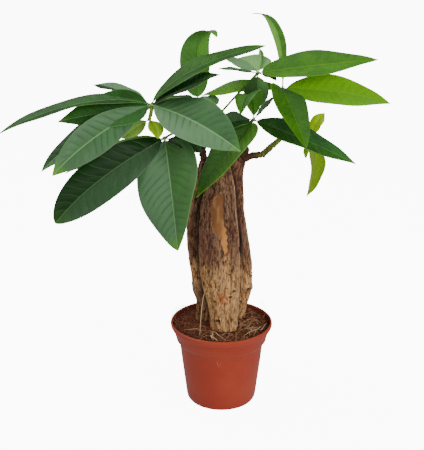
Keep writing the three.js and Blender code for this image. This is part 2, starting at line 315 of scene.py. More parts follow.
class Nodes:
    """Adds nodes to a tree and joins each to what feeds it."""

    def __init__(self, tree):
        self.tree = tree

    def add(self, kind, feeds=None, **settings):
        made = self.tree.nodes.new(kind)
        for name, value in settings.items():
            setattr(made, name, value)
        for name, value in (feeds or {}).items():
            self.feed(made.inputs[name], value)
        return made

    def feed(self, socket, value):
        """A socket gets another node's output, a value, or the colour of a code."""
        if isinstance(value, bpy.types.NodeSocket):
            self.tree.links.new(value, socket)
        else:
            socket.default_value = colour(value) if isinstance(value, str) else value

    def math(self, operation, first, second=0.0):
        return self.add("ShaderNodeMath", {0: first, 1: second}, operation=operation).outputs[0]

    def times(self, first, second):
        return self.math("MULTIPLY", first, second)

    def plus(self, first, second):
        return self.math("ADD", first, second)

    def minus(self, first, second):
        return self.math("SUBTRACT", first, second)

    def blend(self, mask, first, second, share=1.0):
        """The first colour where the mask is 0. Where it is 1, this share of it is the second."""
        if share != 1:
            mask = self.times(mask, share)
        return self.add("ShaderNodeMix", {0: mask, 6: first, 7: second}, data_type="RGBA").outputs[2]

    def coats(self, base, *coats):
        """Colours over a base. A coat is a value, where it begins and is full, a colour and its share."""
        for value, low, high, second, share in coats:
            base = self.blend(self.step(value, low, high), base, second, share)
        return base

    def marks(self, base, *marks):
        """Colours over a base where an attribute is 1. A mark is its name, a colour and a share."""
        for name, second, share in marks:
            base = self.blend(self.attribute(name), base, second, share)
        return base

    def step(self, value, low, high):
        """0 below low and 1 above high, with a soft change between them."""
        feeds = {"Value": value, "From Min": low, "From Max": high}
        return self.add("ShaderNodeMapRange", feeds, interpolation_type="SMOOTHSTEP").outputs[0]

    def band(self, value, rise, fall):
        """1 between a rise and a fall of the value, each given by where it begins and is full."""
        return self.times(self.step(value, *rise), self.step(value, *fall))

    def object_place(self, stretch=(1, 1, 1)):
        place = self.add("ShaderNodeTexCoord").outputs["Object"]
        return self.add("ShaderNodeMapping", {"Vector": place, "Scale": stretch}).outputs[0]

    def noise(self, place, scale, detail=3.0, rough=0.5):
        feeds = {"Vector": place, "Scale": scale, "Detail": detail, "Roughness": rough}
        return self.add("ShaderNodeTexNoise", feeds).outputs["Fac"]

    def attribute(self, name):
        return self.add("ShaderNodeAttribute", attribute_name=name).outputs["Fac"]

    def bump(self, height, distance, strength=1.0):
        feeds = {"Height": height, "Distance": distance, "Strength": strength}
        return self.add("ShaderNodeBump", feeds).outputs[0]

    def group(self, tree, **feeds):
        return self.add("ShaderNodeGroup", feeds, node_tree=tree).outputs


def new_material(name):
    """A material, its nodes and its Principled shader."""
    material = bpy.data.materials.new(name)
    material.use_nodes = True
    return material, Nodes(material.node_tree), material.node_tree.nodes["Principled BSDF"]


def set_surface(nodes, shader, base, relief, rough, shine=0.5):
    """Feed a shader its colour, bumps, roughness and shine."""
    nodes.feed(shader.inputs["Base Color"], base)
    nodes.feed(shader.inputs["Normal"], relief)
    nodes.feed(shader.inputs["Roughness"], rough)
    nodes.feed(shader.inputs["Specular IOR Level"], shine)


def new_group(name, takes, gives):
    """A node group with named inputs, each with its usual value, and named outputs."""
    tree = bpy.data.node_groups.new(name, "ShaderNodeTree")
    for label, value in takes.items():
        socket = tree.interface.new_socket(label, in_out="INPUT", socket_type="NodeSocketFloat")
        socket.default_value = value
    for label in gives:
        tree.interface.new_socket(label, in_out="OUTPUT", socket_type="NodeSocketFloat")
    nodes = Nodes(tree)
    return tree, nodes, nodes.add("NodeGroupInput").outputs, nodes.add("NodeGroupOutput").inputs


def blade_pattern_group():
    """Where a blade's midrib, side veins, furrows and rim lie. The furrows are darkened as painted shade."""
    takes = {"Midrib width": 0.007, "Vein width": 0.16}
    gives = ("Midrib", "Vein", "Furrow shade", "Rim", "Along")
    tree, nodes, given, out = new_group("blade pattern", takes, gives)
    chart = nodes.add("ShaderNodeUVMap", uv_map="blade").outputs[0]
    split = nodes.add("ShaderNodeSeparateXYZ", {0: chart}).outputs
    across = nodes.math("ABSOLUTE", nodes.minus(split["X"], 0.5))
    near = nodes.minus(1.0, nodes.step(across, 0.0, given["Midrib width"]))
    swing = nodes.math("ABSOLUTE", nodes.math("SINE", nodes.times(nodes.attribute("ribs"), math.pi)))
    rim = nodes.attribute("rim")
    inside = nodes.minus(1.0, nodes.step(rim, 0.7, 0.97))
    patchy = nodes.step(nodes.noise(nodes.object_place(), 30, 2), 0.3, 0.62)
    vein = nodes.minus(1.0, nodes.step(swing, 0.0, given["Vein width"]))
    furrow_shade = nodes.times(nodes.step(swing, 0.6, 0.08), patchy)
    nodes.feed(out["Midrib"], near)
    nodes.feed(out["Vein"], nodes.times(vein, inside))
    nodes.feed(out["Furrow shade"], nodes.times(furrow_shade, inside))
    nodes.feed(out["Rim"], nodes.step(rim, 0.95, 1.0))
    nodes.feed(out["Along"], split["Y"])
    return tree


def blade_material(name, pattern, face, deep, vein, tip, gloss, glow):
    """One side of a leaf blade."""
    material, nodes, shader = new_material(name)
    place = nodes.object_place()
    lines = nodes.group(pattern)
    tone = nodes.attribute("tone")
    base = nodes.coats(deep, (nodes.noise(place, 48, 4, 0.6), 0.38, 0.64, face, 1))
    # Painted shade in the furrows by the side veins
    base = nodes.blend(lines["Furrow shade"], base, deep, 0.5)
    # Tone: above 0 towards yellow green, partly the leaf's own colour and partly painted light shining
    # through; below 0 towards dark green, painted shade
    base = nodes.coats(base, (tone, 0.0, 1.0, tip, 1), (tone, 0.0, -1.0, "0c2e08", 1))
    # Painted sheen: a pale grey-green over each half, less in the furrows
    sheen_share = nodes.times(nodes.attribute("painted_sheen"), nodes.minus(1.2, nodes.times(lines["Furrow shade"], 0.62)))
    base = nodes.blend(sheen_share, base, "84b082")
    yellow = nodes.times(nodes.step(lines["Along"], 0.84, 1.0), nodes.attribute("gold"))
    base = nodes.blend(yellow, base, tip)
    base = nodes.blend(lines["Vein"], base, vein, 0.15)
    base = nodes.blend(lines["Rim"], base, vein, 0.35)
    base = nodes.blend(nodes.times(lines["Midrib"], nodes.attribute("rib")), base, vein)
    rough = nodes.plus(nodes.times(nodes.noise(place, 120, 3), 0.24), gloss - 0.12)
    grain = nodes.times(nodes.noise(place, 900, 2), 0.3)
    height = nodes.minus(grain, nodes.plus(lines["Vein"], lines["Midrib"]))
    set_surface(nodes, shader, base, nodes.bump(height, 0.14 * MM, 0.7), rough, 0.12)
    shader.inputs["Subsurface Weight"].default_value = glow
    shader.inputs["Subsurface Radius"].default_value = (0.7, 1.0, 0.25)
    shader.inputs["Subsurface Scale"].default_value = 1.5 * MM
    return material


def stalk_material(name, light, dark, blade):
    """Leaf stalks and midribs: smooth and a little streaked. Faint midribs have the blade's own green."""
    material, nodes, shader = new_material(name)
    streak = nodes.noise(nodes.object_place((1, 1, 0.2)), 500, 3)
    base = nodes.coats(dark, (streak, 0.35, 0.65, light, 1))
    base = nodes.blend(nodes.attribute("rib"), blade, base)
    set_surface(nodes, shader, base, nodes.bump(streak, 0.15 * MM, 0.5), 0.45)
    return material


def bark_group():
    """Upright fissures, cracks between plates and specks of dry bark."""
    takes = {"Scale": 700.0, "Cracks": 300.0}
    tree, nodes, given, out = new_group("bark grain", takes, ("Streak", "Speck", "Crack", "Height"))
    streak = nodes.noise(nodes.object_place((1, 1, 0.2)), given["Scale"], 4, 0.65)
    speck = nodes.noise(nodes.object_place((1, 1, 0.5)), nodes.times(given["Scale"], 1.6), 3, 0.6)
    place = nodes.object_place((1, 1, 0.24))
    sway = nodes.add("ShaderNodeTexNoise", {"Vector": place, "Scale": 160.0, "Detail": 2.0}).outputs["Color"]
    shift = nodes.add("ShaderNodeVectorMath", {0: sway, 3: 0.006}, operation="SCALE").outputs[0]
    bent = nodes.add("ShaderNodeVectorMath", {0: place, 1: shift}, operation="ADD").outputs[0]
    feeds = {"Vector": bent, "Scale": given["Cracks"]}
    edge = nodes.add("ShaderNodeTexVoronoi", feeds, feature="DISTANCE_TO_EDGE").outputs["Distance"]
    crack = nodes.minus(1.0, nodes.step(edge, 0.01, 0.11))
    crack = nodes.times(crack, nodes.step(streak, 0.62, 0.42))
    nodes.feed(out["Streak"], streak)
    nodes.feed(out["Speck"], speck)
    nodes.feed(out["Crack"], crack)
    rise = nodes.plus(streak, nodes.times(speck, 0.5))
    nodes.feed(out["Height"], nodes.minus(rise, nodes.times(crack, 0.8)))
    return tree


def bark_material(grain_tree):
    """Dark fissured bark that turns tan and pitted towards the soil, with one peeled place."""
    material, nodes, shader = new_material("bark")
    grain = nodes.group(grain_tree)
    place = nodes.object_place()
    height = nodes.add("ShaderNodeSeparateXYZ", {0: place}).outputs["Z"]
    wide = nodes.noise(nodes.object_place((1, 1, 0.35)), 110, 3)
    blotch = nodes.noise(nodes.object_place((1, 1, 0.5)), 55, 2)

    streak, speck, crest = grain["Streak"], grain["Speck"], nodes.attribute("crest")
    dark = nodes.coats(
        "46291f", (streak, 0.38, 0.6, "8a6046", 1), (wide, 0.45, 0.62, "74463a", 0.7),
        (blotch, 0.5, 0.64, "8c6c52", 0.5), (speck, 0.56, 0.68, "bb946a", 0.75),
    )
    pale = nodes.coats(
        "a87040", (streak, 0.36, 0.58, "e6b276", 1), (blotch, 0.46, 0.6, "b08a62", 0.45),
        (speck, 0.57, 0.7, "f6ce90", 0.6), (speck, 0.43, 0.33, "6a4428", 0.7),
    )
    wood = nodes.coats(
        "7e5434", (height, 0.236, 0.216, "cc8844", 1), (wide, 0.42, 0.6, "c08a56", 0.5),
        (blotch, 0.5, 0.62, "74492c", 0.75), (speck, 0.5, 0.66, "7c4e30", 0.35),
    )
    base = nodes.blend(nodes.attribute("pale"), dark, pale)
    # Flute crests get a painted highlight and flute valleys painted shade
    base = nodes.coats(base, (crest, 0.86, 1.2, "c39a72", 0.75), (crest, 0.35, 0.0, "301d17", 0.4))
    base = nodes.blend(grain["Crack"], base, "40281c", 0.6)
    # The gap between stems gets painted shade, and the bark by the peel's right edge a painted shadow
    base = nodes.marks(
        base, ("groove", "291914", 0.8), ("rust", "ad6438", 1), ("shade", "1d1210", 1),
        ("peel", wood, 1), ("peel_shadow", "4a2c1a", 1), ("knot", "2c1810", 1),
    )
    cover = nodes.minus(1.0, nodes.times(nodes.attribute("peel"), 0.75))
    relief = nodes.times(grain["Height"], cover)
    set_surface(nodes, shader, base, nodes.bump(relief, 1.0 * MM, 0.9), 0.88, 0.2)
    return material


def twig_material(grain_tree):
    """Young wood: brown at its foot and green towards the leaves."""
    material, nodes, shader = new_material("twig bark")
    grain = nodes.group(grain_tree, Scale=900.0, Cracks=600.0)
    wood = nodes.coats("351c16", (grain["Streak"], 0.38, 0.62, "6a4630", 1))
    olive = nodes.coats("4a4a1c", (grain["Streak"], 0.36, 0.6, "8a8a3a", 1))
    green = nodes.coats("6f8f1e", (grain["Speck"], 0.4, 0.6, "a4bc3c", 1))
    along = nodes.attribute("green")
    base = nodes.coats(wood, (along, 0.05, 0.4, olive, 1), (along, 0.62, 1.0, green, 1))
    base = nodes.marks(base, ("knot", "3d2a1c", 1))
    set_surface(nodes, shader, base, nodes.bump(grain["Height"], 0.5 * MM, 0.8), 0.7, 0.3)
    return material


def pot_material():
    """Moulded terracotta plastic, satin and a little scuffed, with painted shade and painted highlights."""
    material, nodes, shader = new_material("terracotta plastic")
    place = nodes.object_place()
    cloud = nodes.noise(place, 22, 3)
    dust = nodes.noise(place, 420, 4, 0.65)
    height = nodes.add("ShaderNodeSeparateXYZ", {0: place}).outputs["Z"]
    # The lowest 3 cm turn darker: painted shade towards the foot
    base = nodes.coats(
        "a23620", (cloud, 0.35, 0.7, "aa3f23", 1), (height, 0.03, 0.0, "9a2a18", 0.5),
        (dust, 0.6, 0.8, "c4765a", 0.2),
    )
    flat = nodes.object_place((1, 1, 0))
    reach = nodes.add("ShaderNodeVectorMath", {0: flat}, operation="LENGTH").outputs["Value"]
    # Painted shade on the inner wall above the soil
    inner_wall_shade = nodes.times(nodes.step(height, 0.082, 0.09), nodes.step(reach, 0.0583, 0.0568))
    base = nodes.blend(inner_wall_shade, base, "5a2818", 0.8)
    # Painted light: a lighter, redder band under the flared lip, where bounce light would fall
    under_lip_light = nodes.band(height, (0.0835, 0.0868), (0.0925, 0.0895))
    under_lip_light = nodes.times(under_lip_light, nodes.step(reach, 0.0545, 0.0553))
    base = nodes.blend(under_lip_light, base, "d23c1c", 0.4)
    # Painted highlight: a faint light ring along the ledge
    ledge_highlight = nodes.band(height, (0.0718, 0.0735), (0.0782, 0.0765))
    ledge_highlight = nodes.times(ledge_highlight, nodes.step(reach, 0.0485, 0.0495))
    base = nodes.blend(ledge_highlight, base, "f08a62", 0.07)
    # The raised moulded mark is painted paler: a painted highlight
    base = nodes.marks(base, ("mark_highlight", "c8735a", 1))
    rough = nodes.plus(nodes.times(nodes.noise(place, 90, 3), 0.2), 0.36)
    rings = nodes.noise(nodes.object_place((0.05, 0.05, 1)), 900, 2)
    relief = nodes.plus(nodes.times(dust, 0.4), rings)
    set_surface(nodes, shader, base, nodes.bump(relief, 0.05 * MM, 0.5), rough, 0.4)
    return material


def soil_material():
    """Dark peat with reddish crumbs."""
    material, nodes, shader = new_material("peat")
    place = nodes.object_place()
    crumb = nodes.noise(place, 420, 4, 0.7)
    patch = nodes.noise(place, 90, 3)
    base = nodes.coats("2c150e", (crumb, 0.42, 0.64, "7c4632", 1), (patch, 0.5, 0.66, "6a2f22", 0.5))
    set_surface(nodes, shader, base, nodes.bump(crumb, 1.6 * MM), 0.95, 0.2)
    return material


def loose_material(name, low, middle, high, rough):
    """Bits that lie on the soil, each with a tone of its own from dark to pale."""
    material, nodes, shader = new_material(name)
    tone = nodes.attribute("tone")
    grain = nodes.noise(nodes.object_place(), 1500, 2)
    base = nodes.coats(low, (tone, 0.0, 0.7, middle, 1), (tone, 0.72, 1.0, high, 1))
    base = nodes.coats(base, (grain, 0.55, 0.4, low, 0.5))
    set_surface(nodes, shader, base, nodes.bump(grain, 0.4 * MM), rough, 0.25)
    return material


# Pot

# Radius and height of the outer wall, in millimetres: foot, body, ledge, collar and flared lip
POT_OUTSIDE = [
    (37.5, 0), (39.6, 0.7), (40.8, 2.4), (41.6, 6), (44.1, 27), (46.6, 48), (48.5, 65), (49.2, 71.2),
    (49.5, 72.4), (50.4, 73.9), (52.3, 75.9), (53.0, 76.9), (53.4, 78.6), (54.8, 84), (55.8, 87),
    (57.6, 90.2), (59.2, 93), (59.8, 95.4), (59.6, 97), (58.8, 97.8), (58.0, 98),
]
# The inner wall, from the lip to the floor
POT_INSIDE = [
    (57.4, 97.4), (57.0, 95.5), (56.8, 93), (55.2, 89), (53, 84), (51.6, 80.2), (50.6, 78.2), (48.4, 75.2),
    (47.6, 73), (46.7, 65), (44.8, 48), (39.8, 6), (38.2, 2.6), (36, 1.8),
]
# Points and radii of the small raised moulded mark, painted paler as a painted highlight
MOULD_MARK = [
    ((-5.6, -48.6, 68.4), 0.5), ((-4.6, -48.3, 64.8), 0.7), ((-3.2, -48.0, 61.6), 0.9),
    ((-1.9, -48.5, 65.0), 0.6), ((-1.0, -48.8, 67.2), 0.4),
]


def make_pot(material):
    """A wall spun round the middle, with drainage holes and a small raised moulded mark on the front that
    carries a painted highlight.
    """
    profile = [(0, 0), *POT_OUTSIDE, *POT_INSIDE, (0, 1.8)]
    pot = spun("nursery_pot", [(r * MM, z * MM) for r, z in profile], POT_SEGMENTS)
    drills = []
    for k in range(DRAIN_COUNT):
        turn = 2 * math.pi * k / DRAIN_COUNT
        drills.append(start_from(
            bpy.ops.mesh.primitive_cylinder_add, "drill", vertices=32, radius=DRAIN_RADIUS,
            depth=10 * MM, location=(DRAIN_CIRCLE * math.cos(turn), DRAIN_CIRCLE * math.sin(turn), 0),
        ))
    drill = join(drills, "drill")
    apply_modifier(pot, "BOOLEAN", object=drill, operation="DIFFERENCE", solver="EXACT")
    bpy.data.objects.remove(drill)
    mould_mark = tubes("mould_mark", [[(Vector(place) * MM, radius * MM) for place, radius in MOULD_MARK]], 1)
    float_attribute(pot, "mark_highlight", 0)
    float_attribute(mould_mark, "mark_highlight", 0.6)
    dress(join([pot, mould_mark], "nursery_pot"), material, 35, "pot", "pot")


# Soil

def soil_height(x, y):
    """Top of the soil: heaped a little round the stems, and lumpy."""
    reach = math.hypot(x, y)
    heap = SOIL_TOP - SOIL_FALL * smoothstep(15 * MM, 56 * MM, reach)
    place = Vector((x, y, 0))
    lumps = ((160, 0.6), (420, 0.5), (900, 0.3))
    return heap + SOIL_LUMP * sum(noise.noise(place * scale) * share for scale, share in lumps)


def make_soil(material):
    wall = [(r - SOIL_GAP, z + SOIL_GAP) for r, z in POT_INSIDE[3:]]
    top = [(SOIL_REACH * k / SOIL_RINGS, SOIL_EDGE) for k in range(SOIL_RINGS + 1)]
    profile = [*top, *wall, (0, wall[-1][1])]
    soil = spun("potting_soil", [(r * MM, z * MM) for r, z in profile], SOIL_SEGMENTS)
    for vertex in soil.data.vertices:
        if vertex.co.z > (SOIL_EDGE - 0.1) * MM:
            vertex.co.z = soil_height(vertex.co.x, vertex.co.y)
    dress(soil, material, 60, "soil", "soil")


# Middle and radius of each stem where it meets the soil
STEM_FEET = [(3 * MM, -12.5 * MM, 14 * MM), (-19 * MM, 14 * MM, 11 * MM), (17 * MM, 20 * MM, 11 * MM)]


def clear_of_stems(x, y):
    return all(math.hypot(x - sx, y - sy) > gap for sx, sy, gap in STEM_FEET)


def make_chips(material, draw):
    """Crumbs of bark and peat, each a dented lump of its own."""
    chips = []
    tones = []
    blank = start_from(bpy.ops.mesh.primitive_ico_sphere_add, "chip", subdivisions=1, radius=1)
    while len(chips) < CHIP_COUNT:
        x, y = random_place(draw, CHIP_REACH)
        size = draw.uniform(*CHIP_SIZES) * MM
        spin = draw.uniform(0, math.pi)
        flat = draw.uniform(0.35, 0.8)
        tone = draw.random()
        if not clear_of_stems(x, y):
            continue
        chip = copy_of(blank)
        for vertex in chip.data.vertices:
            px, py, pz = vertex.co * size * draw.uniform(0.7, 1.2)
            px *= 1.6
            vertex.co = (
                x + px * math.cos(spin) - py * math.sin(spin),
                y + px * math.sin(spin) + py * math.cos(spin),
                soil_height(x, y) + pz * flat + 0.2 * size,
            )
        chips.append(chip)
        # Chips on the left side are painted darker: painted shade
        tones.extend([tone * (0.6 if x < SHADE_EDGE else 1)] * len(chip.data.vertices))
    bpy.data.objects.remove(blank)
    made = join(chips, "soil_chips")
    float_attribute(made, "tone", tones)
    dress(made, material, None, "soil")


def make_fibres(material, draw):
    """Coir strands that lie on the soil in loose bends, with a few over the rim."""
    strands = []
    tones = []

    def add(points, radius, tone, steps=10):
        line = smooth_line(points, steps)
        strands.append([(p, radius * (1 - 0.6 * abs(2 * k / steps - 1) ** 3)) for k, p in enumerate(line)])
        tones.append(tone)

    while len(strands) < FIBRE_COUNT:
        x, y = random_place(draw, FIBRE_REACH)
        heading = draw.uniform(0, 2 * math.pi)
        length = draw.uniform(*FIBRE_LENGTHS) * MM
        bend = draw.uniform(-1.9, 1.9)
        arch = draw.uniform(0.2, 1.0) ** 3 * 5 * MM
        points = []
        for k in range(5):
            angle = heading + bend * (k / 4 - 0.5)
            points.append([x, y, soil_height(x, y) + arch * math.sin(math.pi * k / 4) + 0.2 * MM])
            x += length / 4 * math.cos(angle)
            y += length / 4 * math.sin(angle)
        inside = all(math.hypot(px, py) < FIBRE_LIMIT for px, py, _ in points)
        if inside and all(clear_of_stems(px, py) for px, py, _ in points):
            # Fibres on the left side are painted darker: painted shade
            add(points, draw.uniform(*FIBRE_RADII) * MM, draw.random() * (0.55 if x < SHADE_EDGE else 1))
    for points, radius, tone in LONG_FIBRES:
        add([Vector(p) * MM for p in points], radius * MM, tone, 16)
    made = tubes("coir_fibres", strands, 0)
    float_attribute(made, "tone", strand_values(made, tones))
    dress(made, material, 80, "soil")


# Single strands that stand out, in millimetres: their points, radius and tone. The first leans on the
# stems and some reach over the rim
LONG_FIBRES = [
    ([(-25, -36, 94), (-24.2, -36, 108), (-23, -36, 124), (-21.5, -36, 138), (-19.5, -34, 147)], 0.42, 0.92),
    ([(-12, -32, 94), (-10, -37, 98), (-11.5, -43, 96), (-8.5, -47, 95)], 0.5, 1),
    ([(-10, -36, 95), (-13, -42, 98), (-9, -46, 97.5), (-5, -50, 96)], 0.4, 1),
    ([(-14, -30, 94), (-8, -34, 99), (-3, -40, 97), (2, -43, 96)], 0.35, 0.95),
    ([(-52, 3, 93), (-55, 9, 100), (-50, 16, 107), (-43, 18, 108), (-38, 14, 104)], 0.3, 0.5),
    ([(-49, -6, 93), (-57, 1, 98), (-57.5, 8, 104), (-52, 14, 109)], 0.28, 0.5),
    ([(48, 12, 92), (53, 16, 100), (52, 20, 108), (47, 22, 112)], 0.28, 0.5),
    ([(40, -14, 93), (46, -22, 96), (50, -14, 97), (53, -4, 96)], 0.3, 1),
    ([(22, -38, 93), (32, -30, 97), (42, -24, 98), (46, -12, 96)], 0.3, 1),
    ([(26, -20, 95), (34, -10, 98), (30, 0, 98), (38, 8, 96)], 0.28, 0.9),
    ([(-44, -18, 94), (-36, -26, 98), (-28, -24, 98), (-22, -32, 96)], 0.25, 0.9),
]


# Stems

def stem_levels(node):
    """Height, middle and half sizes of each level of a packed stem, from its own corners."""
    levels = {}
    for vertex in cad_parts[node].data.vertices:
        x, y, z = vertex.co
        levels.setdefault(round(z, 4), set()).add((round(x, 5), round(y, 5)))
    stations = []
    for height, corners in sorted(levels.items()):
        count = len(corners)
        middle = [sum(values) / count for values in zip(*corners)]
        spread = [sum((v - at) ** 2 for v in values) for values, at in zip(zip(*corners), middle)]
        stations.append(Vector((height, *middle, *(math.sqrt(2 * total / count) for total in spread))))
    return stations


def level_at(stations, height):
    """A stem's middle and half sizes at a height, smooth between its levels."""
    last = len(stations) - 1
    low = 0
    while low < last - 1 and stations[low + 1][0] < height:
        low += 1
    span = stations[low + 1][0] - stations[low][0]
    share = min(max((height - stations[low][0]) / span, 0), 1)
    return catmull(stations, low + share)


# The peeled place on the front stem: across and height of its outline, in millimetres
PEEL_OUTLINE = [
    (-9, 258), (-5, 260.5), (1.4, 261.5), (2.2, 254), (1.4, 249), (2.6, 243), (1.8, 237), (3, 231),
    (2.6, 227), (5.4, 222), (4.4, 218), (6.8, 213), (6, 209), (7.4, 205), (5.8, 201.5), (7.2, 197),
    (5.4, 193), (3.4, 192), (1, 199), (-1.2, 208), (-3.4, 216.6), (-9, 220), (-12.4, 226),
    (-11.6, 232), (-12.2, 238), (-10.6, 250),
]

# Knots as stem, across, height and size, then the rusty place on the front stem as across, height and
# half sizes, in millimetres
KNOTS = [
    ("front", 13.5, 146, 3.6), ("front", 9.5, 139, 3.4), ("front", -8, 134, 3.0), ("front", -4, 109, 4.4),
    ("front", 8, 168, 2.2), ("front", 1, 124, 1.8), ("right", 31, 136, 4.4), ("right", 34, 152, 3.0),
    ("right", 22, 120, 3.0), ("left", -27, 152, 3.0), ("left", -24, 134, 2.4),
]
RUST_PLACE = (1.0, 139, 6.5, 12)

# Painted highlights along lit ridges of the front stem, in colour only: compass direction, and how far
# from it each begins and is full
RIDGE_LIGHTS = [(186, 10, 3), (347, 12, 4)]

# Where bark turns from tan to dark, how much painted shade darkens the foot, the compass direction of one
# ridge, and how near to the front stem, in its own radii, the painted shade of the gap between them
# begins and is full
STEMS = {
    "front": {"pale": (150 * MM, 192 * MM), "foot": 0, "phase": 172, "gap": (1.2, 1.0)},
    "left": {"pale": (160 * MM, 190 * MM), "foot": 0.75, "phase": 40, "gap": (1.68, 1.3)},
    "right": {"pale": (145 * MM, 178 * MM), "foot": 0.1, "phase": 300, "gap": (1.7, 1.35)},
}


def inside_outline(x, z, outline):
    """How far a place lies inside an outline, negative outside, in the outline's own unit."""
    nearest = 1e9
    inside = False
    for (ax, az), (bx, bz) in zip(outline, outline[1:] + outline[:1]):
        if (az > z) != (bz > z) and x < (bx - ax) * (z - az) / (bz - az) + ax:
            inside = not inside
        length = (bx - ax) ** 2 + (bz - az) ** 2
        share = min(max(((x - ax) * (bx - ax) + (z - az) * (bz - az)) / length, 0), 1)
        nearest = min(nearest, math.hypot(x - ax - share * (bx - ax), z - az - share * (bz - az)))
    return nearest if inside else -nearest


def bark_relief(x, y, height):
    """How far bark stands out at a place, in metres, and how deep in a fissure the place lies."""
    tall = Vector((x, y, height * 0.2))
    ridge = noise.noise(tall * 400) + 0.6 * noise.noise(tall * 860 + Vector((7, 3, 1)))
    lump = noise.noise(Vector((x, y, height * 0.6)) * 90)
    groove = smoothstep(0.1, 0.7, -ridge)
    return BARK_DEPTH * (0.45 * ridge - groove) + BARK_LUMP * lump, groove


def front_marks(x, height):
    """Peeled wood, painted shadow on the bark by its right edge, rust and pale streak at a place on the front
    stem.
    """
    ripple = 0.8 * noise.noise(Vector((x * 0.3, 0, height)) * 260)
    inside = -9
    if -16 * MM < x < 12 * MM and 188 * MM < height < 266 * MM:
        inside = inside_outline(x / MM + ripple, height / MM, PEEL_OUTLINE)
    peel = smoothstep(-0.3, 0.5, inside)
    # A dark band just outside the peel's right edge: painted shadow
    peel_shadow = 0.8 * smoothstep(-1.5, -0.5, inside) * (1 - peel) * smoothstep(-3 * MM, 2 * MM, x)
    rx, rz, wide, tall = RUST_PLACE
    away = math.hypot((x / MM - rx) / wide, (height / MM - rz) / tall)
    rust = 0.75 * smoothstep(1.2, 0.3, away + 0.6 * noise.noise(Vector((x, 0, height)) * 260))
    streak = smoothstep(7 * MM, 3 * MM, abs(x - 5.5 * MM)) * smoothstep(200 * MM, 186 * MM, height)
    return peel, peel_shadow, rust, 0.75 * streak


def make_stem(side, material):
    """A fluted stem under fissured bark."""
    node = f"trunk_{side}"
    stations = stem_levels(node)
    front = stem_levels("trunk_front")
    bottom, top = stations[0][0], stations[-1][0]
    rings = int((top - bottom) / STEM_RING_GAP)
    profile = [(k / 3, bottom) for k in range(3)]
    profile += [(1, bottom + (top - bottom) * k / rings) for k in range(rings + 1)]
    profile += [(1 - k / 3, top) for k in range(1, 4)]
    stem = spun(f"stem_{side}", profile, STEM_SIDES)
    style = STEMS[side]
    rows = []
    levels = {}
    for vertex in stem.data.vertices:
        height = vertex.co.z
        reach = math.hypot(vertex.co.x, vertex.co.y)
        angle = math.atan2(vertex.co.y, vertex.co.x)
        key = round(height, 6)
        if key not in levels:
            levels[key] = (level_at(stations, height), level_at(front, height))
        _, cx, cy, half, depth = levels[key][0]
        phase = math.radians(style["phase"] + FLUTE_TURN * height)
        wander = 0.06 * noise.noise(Vector((0, angle, 30 * height)))
        crest = abs(math.cos(FLUTES / 2 * (angle - phase + wander)))
        flute = reach * (1 + FLUTE_DEPTH * (2 * crest ** 0.8 - 1.3))
        if side == "front":
            compass = math.degrees(angle) % 360
            # Pale lines along the front stem's ridges: painted highlight
            edge = max(smoothstep(begin, full, abs(compass - line)) for line, begin, full in RIDGE_LIGHTS)
            crest = max(crest, 1.25 * edge * smoothstep(0.11, 0.14, height))
        x = cx + half * flute * math.cos(angle)
        y = cy + depth * flute * math.sin(angle)
        out, groove = bark_relief(x, y, height)
        sway = 0.02 * noise.noise(Vector((x, y, height * 0.5)) * 70)
        pale = 1 - smoothstep(*style["pale"], height + sway)
        # A darker foot: painted shade
        pale *= 1 - style["foot"] * smoothstep(146 * MM, 128 * MM, height + sway)
        peel, peel_shadow, rust, streak = 0, 0, 0, 0
        if side == "front" and y < cy:
            peel, peel_shadow, rust, streak = front_marks(x, height)
        out = out * (1 - peel) - PEEL_DEPTH * peel
        knot = 0
        for owner, kx, kz, size in KNOTS:
            if owner == side and y < cy and abs(height / MM - kz) < 3 * size:
                away = math.hypot(x / MM - kx, 1.5 * (height / MM - kz)) / size
                away += 0.25 * noise.noise(Vector((x, y, height)) * 500)
                knot = max(knot, 0.9 * smoothstep(0.85, 0.35, away))
                out += (1.1 * math.exp(-(away - 1) ** 2 * 6) - 1.3 * smoothstep(0.8, 0.1, away)) * MM
        _, fx, fy, front_half, front_depth = levels[key][1]
        near = math.hypot((x - fx) / front_half, (y - fy) / front_depth)
        shade = 0 if side == "front" else GAP_SHADE * smoothstep(*style["gap"], near)
        if side == "right":
            shade *= 0.25 + 0.75 * smoothstep(0.15, 0.2, height)
        vertex.co = (x + out * reach * math.cos(angle), y + out * reach * math.sin(angle), height)
        rows.append((groove, max(pale, streak), peel, peel_shadow, knot, rust, shade, crest))
    float_attributes(stem, ("groove", "pale", "peel", "peel_shadow", "knot", "rust", "shade", "crest"), rows)
    dress(stem, material, 70, "bark", node)


# Twigs

# The two twigs, in millimetres: piece, node, lines of points and radii, places and sizes of old leaf
# seats, and the axis along which the bark turns green, with where that begins and ends
TWIGS = [
    (
        "left_shoot", "shoot_left",
        [([(-19, 10, 282), (-21, 8, 300), (-22, 5, 317)], [3.6, 3.1, 2.7])],
        [((-24, 7, 296), 1.8), ((-19, 6, 304), 1.6), ((-23, 5, 309), 1.3)],
        (2, 306, 330),
    ),
    (
        "right_twig", "twig_right",
        [
            (
                [(18, 6, 288), (33, 2, 296), (44, 0, 298), (52.5, -2, 306), (61, -4, 314), (63, -4, 317)],
                [3.8, 3.1, 2.9, 2.8, 2.5, 2],
            ),
            ([(22, 5, 289), (26, 4, 297), (28, 4, 304)], [3, 2.7, 2.2]),
        ],
        [
            ((33, 1, 299.3), 1.5), ((40, -1, 300.5), 1.3), ((38, 0, 294.2), 1.7), ((46, -2, 296.2), 1.4),
            ((49, -3, 306), 1.4), ((53, -3, 303.2), 1.3), ((56, -4, 311.7), 1.2), ((28, 3, 304.6), 1.7),
        ],
        (0, 28, 68),
    ),
]


